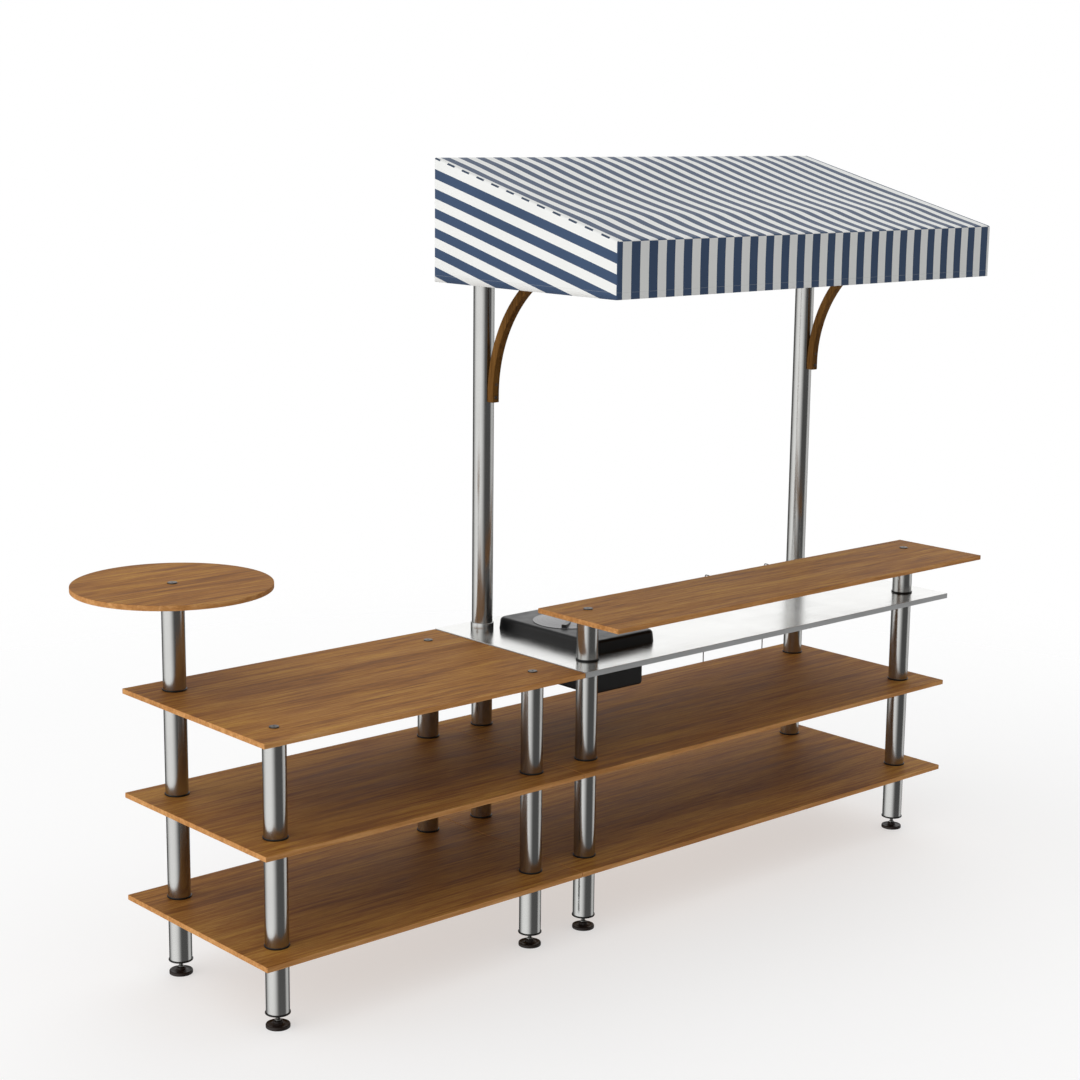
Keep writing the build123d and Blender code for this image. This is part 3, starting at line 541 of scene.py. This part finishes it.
# ---- stainless worktop: a folded tray over its board --------------------------------------------------
low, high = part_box("worktop_sheet")
hole_low, hole_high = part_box("well_case")
sheet_wall = 2 * MM
fold_radius = 1.2 * MM
mesh = bmesh.new()
corners = [mesh.verts.new(spot) for spot in (
    (low.x, low.y, high.z), (high.x, low.y, high.z), (high.x, high.y, high.z), (low.x, high.y, high.z),
)]
mesh.faces.new(corners)
for normal in ((1, 0, 0), (0, 1, 0)):
    for place in (hole_low, hole_high):
        bmesh.ops.bisect_plane(mesh, geom=everything(mesh), plane_co=place, plane_no=normal)
cut_out = [
    face for face in mesh.faces
    if all(hole_low[i] < face.calc_center_median()[i] < hole_high[i] for i in (0, 1))
]
rim = [edge for edge in mesh.edges if edge.is_boundary]
skirt = bmesh.ops.extrude_edge_only(mesh, edges=rim)["geom"]
bmesh.ops.translate(mesh, vec=(0, 0, low.z - high.z), verts=only(bmesh.types.BMVert, skirt))
bmesh.ops.recalc_face_normals(mesh, faces=mesh.faces)
bmesh.ops.delete(mesh, geom=cut_out, context="FACES")
for face in mesh.faces:
    face.material_index = 1 if abs(face.normal.z) < 0.5 else 0
ease(mesh, fold_radius)
piece(mesh, "worktop_steel", [brushed_sheet, ground_skirt], stands_for=["worktop_sheet"],
      weighted=True, wall=sheet_wall)

# ---- drop-in well --------------------------------------------------------------------------------------
low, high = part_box("well_housing")
pan = middle("well_lid")
lip_radius = 111.5 * MM
housing_corner = 26 * MM
housing_edge = 14 * MM
housing_draft = radians(3)
taper = tan(housing_draft) * (high.z - low.z)
mesh = bmesh.new()
cuboid(mesh, low, high)
ease(mesh, housing_corner, upright(mesh), 8)
centre = (low + high) / 2
for vert in mesh.verts:
    if vert.co.z > centre.z:
        vert.co.x -= taper if vert.co.x > centre.x else -taper
        vert.co.y -= taper if vert.co.y > centre.y else -taper
ease(mesh, housing_edge, top_face(mesh).edges[:], 6)
roof_face = top_face(mesh)
outline = roof_face.edges[:]
bmesh.ops.delete(mesh, geom=[roof_face], context="FACES_ONLY")
ring = bmesh.ops.create_circle(mesh, segments=96, radius=lip_radius,
                               matrix=Matrix.Translation((pan.x, pan.y, high.z)))
ring_edges = list({edge for vert in ring["verts"] for edge in vert.link_edges})
bmesh.ops.triangle_fill(mesh, edges=outline + ring_edges, use_beauty=True, normal=(0, 0, 1))
bore = bmesh.ops.extrude_edge_only(mesh, edges=ring_edges)["geom"]
bmesh.ops.translate(mesh, vec=(0, 0, low.z - high.z), verts=only(bmesh.types.BMVert, bore))
base = [face for face in mesh.faces if face.normal.z < -0.9]
bmesh.ops.delete(mesh, geom=base, context="FACES_ONLY")
bmesh.ops.recalc_face_normals(mesh, faces=mesh.faces)
piece(mesh, "well_surround", [housing_black], stands_for=["well_housing"],
      weighted=True)

case_corner = 18 * MM
case_edge = 9 * MM
case_wall = 2 * MM
low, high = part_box("well_case")
mesh = bmesh.new()
cuboid(mesh, low, high)
ease(mesh, case_corner, upright(mesh), 8)
floor_face = min(mesh.faces, key=lambda face: face.calc_center_median().z)
ease(mesh, case_edge, floor_face.edges[:], 5)
bmesh.ops.delete(mesh, geom=[top_face(mesh)], context="FACES_ONLY")
piece(mesh, "well_box", [case_enamel], stands_for=["well_case"], weighted=True,
      wall=case_wall)

low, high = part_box("well_pan")
pan_radius = 108 * MM
pan_wall = 1.2 * MM
pan_corner = 8 * MM
pan_lip = 3 * MM
mesh = bmesh.new()
turned(mesh, [
    (0, low.z), (pan_radius - pan_corner, low.z), (pan_radius - 2.4 * MM, low.z + 2.4 * MM),
    (pan_radius, low.z + pan_corner), (pan_radius, high.z - pan_wall),
    (pan_radius + pan_lip, high.z - pan_wall), (pan_radius + pan_lip, high.z), (pan_radius, high.z),
    (pan_radius - pan_wall, high.z - pan_wall), (pan_radius - pan_wall, low.z + pan_corner),
    (pan_radius - 3.4 * MM, low.z + 3.4 * MM), (pan_radius - pan_corner, low.z + pan_wall),
    (0, low.z + pan_wall),
], Matrix.Translation((pan.x, pan.y, 0)), 128)
piece(mesh, "well_liner", [pressed_steel], stands_for=["well_pan"], sharp=40)

low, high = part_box("well_lid")
lid_radius = (high.x - low.x) / 2
lid_wall = 1.5 * MM
lid_rise = high.z - low.z - lid_wall
lid_rim = 8 * MM
dome = [(step / 12 * (lid_radius - lid_rim), lid_rise * (1 - (step / 12) ** 2)) for step in range(13)]
mesh = bmesh.new()
turned(mesh, [(radius, low.z + lid_wall + rise) for radius, rise in dome] + [
    (lid_radius - 0.5 * MM, low.z + lid_wall), (lid_radius, low.z + lid_wall / 2),
    (lid_radius - 0.5 * MM, low.z),
] + [(radius, low.z + rise) for radius, rise in reversed(dome)], Matrix.Translation((pan.x, pan.y, 0)), 128)
piece(mesh, "lid_dome", [spun_lid], "lid", ["well_lid"], sharp=40)

# Grip: one flat bar bent in a gentle arc across the lid, its foot following the dome.
grip_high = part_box("lid_grip")[1]
grip_half_width = 8.5 * MM
grip_radius = 226 * MM
grip_edge = 1.5 * MM
grip_inset = 13 * MM
grip_gap = 0.1 * MM
grip_swing = asin((lid_radius - grip_inset) / grip_radius)
grip_turn = radians(54)
grip_low = low.z + lid_wall
mesh = bmesh.new()
bend_centre = Vector((pan.x - sin(grip_turn) * grip_radius, pan.y + cos(grip_turn) * grip_radius, 0))
outward = Matrix.Rotation(-grip_swing, 3, "Z") @ Vector((sin(grip_turn), -cos(grip_turn), 0))
section = [
    mesh.verts.new(bend_centre + outward * (grip_radius + across) + Vector((0, 0, height)))
    for across, height in ((-grip_half_width, grip_low), (grip_half_width, grip_low),
                           (grip_half_width, grip_high.z), (-grip_half_width, grip_high.z))
]
loop = [mesh.edges.new((a, b)) for a, b in zip(section, section[1:] + section[:1])]
bmesh.ops.spin(mesh, geom=section + loop, cent=bend_centre, axis=(0, 0, 1), angle=2 * grip_swing, steps=32)
bmesh.ops.holes_fill(mesh, edges=[edge for edge in mesh.edges if edge.is_boundary])
bmesh.ops.recalc_face_normals(mesh, faces=mesh.faces)
for vert in mesh.verts:
    if vert.co.z < grip_low + grip_gap:
        share = hypot(vert.co.x - pan.x, vert.co.y - pan.y) / (lid_radius - lid_rim)
        vert.co.z = grip_low + lid_rise * (1 - share ** 2) + grip_gap
ease(mesh, grip_edge, [edge for edge in mesh.edges if all(v.co.z > grip_high.z - MM for v in edge.verts)], 3)
piece(mesh, "lid_handle", [grip_black], "lid", ["lid_grip"], weighted=True)

# ---- awning arms: bent bars from the posts to the batten ----------------------------------------------
arm_radius = 480 * MM
arm_size = 28 * MM
arm_heel = 24 * MM
arm_turn = radians(60)
arm_spare = 600 * MM
arm_edge = 2.5 * MM
batten_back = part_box("arm_batten")[1].y
for side in ("left", "right"):
    low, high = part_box(f"arm_{side}")
    mesh = bmesh.new()
    section = [mesh.verts.new((x, y, low.z)) for x, y in (
        (low.x, high.y), (high.x, high.y), (high.x, high.y - arm_size), (low.x, high.y - arm_size),
    )]
    loop = [mesh.edges.new((a, b)) for a, b in zip(section, section[1:] + section[:1])]
    grown = bmesh.ops.extrude_edge_only(mesh, edges=loop)["geom"]
    top = only(bmesh.types.BMVert, grown)
    bmesh.ops.translate(mesh, vec=(0, 0, arm_heel), verts=top)
    top += [edge for edge in only(bmesh.types.BMEdge, grown) if all(v in top for v in edge.verts)]
    last = bmesh.ops.spin(mesh, geom=top, cent=(0, high.y - arm_radius, low.z + arm_heel), axis=(1, 0, 0),
                          angle=arm_turn, steps=28)["geom_last"]
    # A straight run, longer than needed, cut off at the batten.
    grown = bmesh.ops.extrude_edge_only(mesh, edges=only(bmesh.types.BMEdge, last))["geom"]
    bmesh.ops.translate(mesh, vec=Vector((0, -sin(arm_turn), cos(arm_turn))) * arm_spare,
                        verts=only(bmesh.types.BMVert, grown))
    bmesh.ops.bisect_plane(mesh, geom=everything(mesh), plane_co=(0, batten_back, 0), plane_no=(0, -1, 0),
                           clear_outer=True)
    bmesh.ops.holes_fill(mesh, edges=[edge for edge in mesh.edges if edge.is_boundary])
    bmesh.ops.recalc_face_normals(mesh, faces=mesh.faces)
    ease(mesh, arm_edge)
    piece(mesh, f"bent_arm_{side}", [bent_ash], stands_for=[f"arm_{side}"], weighted=True)

low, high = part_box("arm_screws")
arm_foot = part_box("arm_left")[0].z
screw_rises = (17 * MM, 60 * MM)
screw_length = 40 * MM
shank_radius = 3 * MM
head_radius = 6 * MM
head_thick = 4 * MM
mesh = bmesh.new()
for spot in tall_posts.values():
    for rise in screw_rises:
        turned(mesh, [
            (0, screw_length), (shank_radius, screw_length), (shank_radius, head_thick),
            (head_radius, head_thick), (head_radius, 1.6 * MM),
            (5.4 * MM, 0.7 * MM), (4.2 * MM, 0.1 * MM), (2.4 * MM, 0), (2.3 * MM, 0.1 * MM),
            (2.3 * MM, 2.5 * MM), (0, 2.5 * MM),
        ], Matrix.Translation((spot.x, low.y, arm_foot + rise)) @ Matrix.Rotation(radians(-90), 4, "X"), 32,
            hexagon=2.35 * MM)
piece(mesh, "screws_arm", [dark_steel], stands_for=["arm_screws"])

# ---- awning cover: one sewn sheet over the frame ------------------------------------------------------
low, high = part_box("canopy_top")
hem_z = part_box("canopy_gable_left")[0].z
front_rise = 173 * MM
rear_rise = high.z - hem_z
slope = (rear_rise - front_rise) / (high.y - low.y)
stripe_pitch = 73 * MM
stripe_start = 14.5 * MM
gable_pitch = 62.3 * MM
gable_band = 36 * MM
fold_size = 5 * MM
cloth_thick = 1.2 * MM
gable_pull = 2.5 * MM
rear_pull = 3 * MM
front_pull = 1.2 * MM
ripple_size = 0.9 * MM


def roof_z(y):
    """Height of the roof at y."""
    return hem_z + front_rise + slope * (y - low.y)


beam_low, beam_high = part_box("awning_beam")
batten_low, batten_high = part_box("arm_batten")
# Clear spans from front to rear, with how far the cloth sags in each.
rail_size = 20 * MM
spans = (
    (low.y + rail_size, batten_low.y, 2.5 * MM),
    (batten_high.y, beam_low.y, 7 * MM),
    (beam_high.y, high.y - rail_size, 0.5 * MM),
)


def sag(x, y):
    """How far the roof hangs below its frame."""
    across = (2 * x - low.x - high.x) / (high.x - low.x)
    for first, last, depth in spans:
        if first < y < last:
            along = (2 * y - first - last) / (last - first)
            return depth * (1 - along ** 2) * (1 - across ** 8)
    return 0.0


mesh = bmesh.new()
columns, rows = 72, 36
bmesh.ops.create_grid(mesh, x_segments=columns, y_segments=rows, size=0.5, matrix=Matrix.Translation(
    ((low.x + high.x) / 2, (low.y + high.y) / 2, 0)) @ Matrix.Diagonal((high.x - low.x, high.y - low.y, 1, 1)))
for vert in mesh.verts:
    vert.co.z = roof_z(vert.co.y)
edge_loop = [edge for edge in mesh.edges if edge.is_boundary]
drops = (0.08, 0.25, 0.5, 0.75, 0.9, 1.0)
for drop in drops:
    grown = bmesh.ops.extrude_edge_only(mesh, edges=edge_loop)["geom"]
    fresh = set(only(bmesh.types.BMVert, grown))
    for vert in fresh:
        top_z = roof_z(vert.co.y)
        vert.co.z = hem_z + (top_z - hem_z) * (1 - drop)
    edge_loop = [edge for edge in only(bmesh.types.BMEdge, grown) if all(v in fresh for v in edge.verts)]
bmesh.ops.recalc_face_normals(mesh, faces=mesh.faces)
ease(mesh, fold_size, over=50)

# Flat cut: u counts the stripes, v is the height above the hem.
cut = mesh.loops.layers.uv.new("cut")
for face in mesh.faces:
    sideways = abs(face.normal.x) > max(abs(face.normal.y), abs(face.normal.z) * 0.9)
    for corner in face.loops:
        spot = corner.vert.co
        if sideways:
            stripe = (roof_z(spot.y) - spot.z - gable_band) / gable_pitch + 20
        else:
            stripe = (spot.x - low.x + stripe_start) / stripe_pitch + (0.5 if face.normal.z > 0.6 else 0)
        corner[cut].uv = (stripe, spot.z - hem_z)

# Binding: the rounded fold between the roof and each gable.
binding = mesh.faces.layers.float.new("binding")
for face in mesh.faces:
    face[binding] = float(0.2 < abs(face.normal.x) < 0.98 and abs(face.normal.y) < 0.5 and face.normal.z > 0.15)

half_x, half_y = (high.x - low.x) / 2, (high.y - low.y) / 2
mid = (low + high) / 2
for vert in mesh.verts:
    x, y, z = vert.co
    share = (z - hem_z) / (roof_z(y) - hem_z)
    bulge = 4 * share * (1 - share)
    ripple = noise.noise(Vector((x * 3.1, y * 3.1, z * 5.3))) * ripple_size
    if share > 0.995:
        vert.co.z -= sag(x, y)
    elif abs(abs(x - mid.x) - half_x) < MM:
        pull = gable_pull * bulge * (1 - ((y - mid.y) / half_y) ** 6) + ripple * bulge
        vert.co.x -= pull if x > mid.x else -pull
    elif abs(abs(y - mid.y) - half_y) < MM:
        depth = rear_pull if y > mid.y else front_pull
        pull = depth * bulge * (1 - ((x - mid.x) / half_x) ** 8) + ripple * bulge
        vert.co.y -= pull if y > mid.y else -pull
cover = piece(mesh, "awning_cover", [canvas], stands_for=[
    "canopy_top", "canopy_gable_left", "canopy_gable_right", "canopy_valance", "canopy_back",
], sharp=60, wall=cloth_thick)

# ---- finishes of the plain pieces ----------------------------------------------------------------------
plain = {
    "worktop_core": plywood,
    "inner_plugs": black_plug,
    "tie_rods": zinc,
    "joining_plates": zinc,
    "gable_frame_left": anodised,
    "gable_frame_right": anodised,
    "awning_long_rails": anodised,
    "awning_beam": anodised,
    "arm_batten": bent_ash,
    "hanging_rail": dark_steel,
}
for name, finish in plain.items():
    nodes[name].data.materials.clear()
    nodes[name].data.materials.append(finish)

# ---- floor, light and camera ---------------------------------------------------------------------------
floor_radius = 6.0
fade_start = 2.6
fade_end = 5.5
mesh = bmesh.new()
bmesh.ops.create_circle(mesh, cap_ends=True, segments=96, radius=floor_radius)
data = bpy.data.meshes.new("studio_floor")
mesh.to_mesh(data)
mesh.free()
ground = bpy.data.objects.new("studio_floor", data)
bpy.context.scene.collection.objects.link(ground)
ground.visible_glossy = False
ground.visible_diffuse = False

# Painted studio floor: plain matt off-white, fading out a few metres from the counter.
floor_tree, place = blank("studio_floor_paint")
reach = add(floor_tree, "ShaderNodeVectorMath", {0: place}, operation="LENGTH").outputs["Value"]
shown = add(floor_tree, "ShaderNodeMapRange", {0: reach, 1: fade_start, 2: fade_end, 3: 1.0, 4: 0.0},
            interpolation_type="SMOOTHSTEP").outputs[0]
# Clear from below, so that the underside of the counter can be seen.
below = add(floor_tree, "ShaderNodeNewGeometry").outputs["Backfacing"]
shown = add(floor_tree, "ShaderNodeMath", {0: shown, 1: below}, operation="SUBTRACT",
            use_clamp=True).outputs[0]
paint = add(floor_tree, "ShaderNodeBsdfDiffuse", {"Color": colour("#fbfbfb")})
bounce = add(floor_tree, "ShaderNodeEmission", {"Color": (1, 1, 1, 1), "Strength": 1.06})
lifted = add(floor_tree, "ShaderNodeMixShader", {0: 0.5, 1: paint.outputs[0], 2: bounce.outputs[0]})
clear = add(floor_tree, "ShaderNodeBsdfTransparent")
faded = add(floor_tree, "ShaderNodeMixShader", {0: shown, 1: clear.outputs[0], 2: lifted.outputs[0]})
add(floor_tree, "ShaderNodeOutputMaterial", {"Surface": faded.outputs[0]})
data.materials.append(bpy.data.materials["studio_floor_paint"])

world = bpy.data.worlds.new("studio")
bpy.context.scene.world = world
world.use_nodes = True
sky = world.node_tree
sky.nodes.clear()
direction = add(sky, "ShaderNodeTexCoord").outputs["Generated"]
glow = add(sky, "ShaderNodeValue").outputs[0]
glow.default_value = 0.125
# Soft boxes: where each one is, the cosines at which it starts and is full, and its strength.
for centre, edge_cosine, full_cosine, strength in (
    ((-0.995, 0.1, 0.05), 0.2, 0.95, 1.38),
    ((0.92, -0.33, -0.15), 0.86, 0.97, 0.8),
    ((0.1, 0.1, 1.0), 0.35, 0.9, 0.57),
    ((0.1, -0.6, 0.8), 0.5, 0.95, 0.24),
    ((0.75, 0.54, 0.39), 0.74, 0.95, 1.08),
    ((0.0, 0.0, -1.0), 0.35, 0.9, 0.8),
):
    toward = add(sky, "ShaderNodeVectorMath", {0: direction, 1: Vector(centre).normalized()},
                 operation="DOT_PRODUCT").outputs["Value"]
    lobe = add(sky, "ShaderNodeMapRange", {0: toward, 1: edge_cosine, 2: full_cosine, 3: 0.0, 4: strength},
               interpolation_type="SMOOTHSTEP").outputs[0]
    glow = add(sky, "ShaderNodeMath", {0: glow, 1: lobe}, operation="ADD").outputs[0]
lit = add(sky, "ShaderNodeBackground", {"Color": (1, 1, 1, 1), "Strength": glow})
backdrop = add(sky, "ShaderNodeBackground", {"Color": (1, 1, 1, 1), "Strength": 1.0})
seen = add(sky, "ShaderNodeLightPath").outputs["Is Camera Ray"]
both = add(sky, "ShaderNodeMixShader", {0: seen, 1: lit.outputs[0], 2: backdrop.outputs[0]})
add(sky, "ShaderNodeOutputWorld", {"Surface": both.outputs[0]})
bpy.context.scene.view_settings.view_transform = "Standard"

# A long lens well above head height, in front of the counter and to its left.
camera_data = bpy.data.cameras.new("camera")
camera_data.sensor_width = 36
camera_data.lens = 70.95
camera = bpy.data.objects.new("camera", camera_data)
bpy.context.scene.collection.objects.link(camera)
bpy.context.scene.camera = camera
stand = Vector((-4.5781, -5.0884, 2.5913))
yaw, pitch, roll = radians(41.67), radians(-11.217), radians(0.639)
forward = Vector((sin(yaw) * cos(pitch), cos(yaw) * cos(pitch), sin(pitch)))
level = Vector((cos(yaw), -sin(yaw), 0))
right = cos(roll) * level + sin(roll) * level.cross(forward)
camera.matrix_world = Matrix.Translation(stand) @ Matrix(
    (right, right.cross(forward), -forward)).transposed().to_4x4()
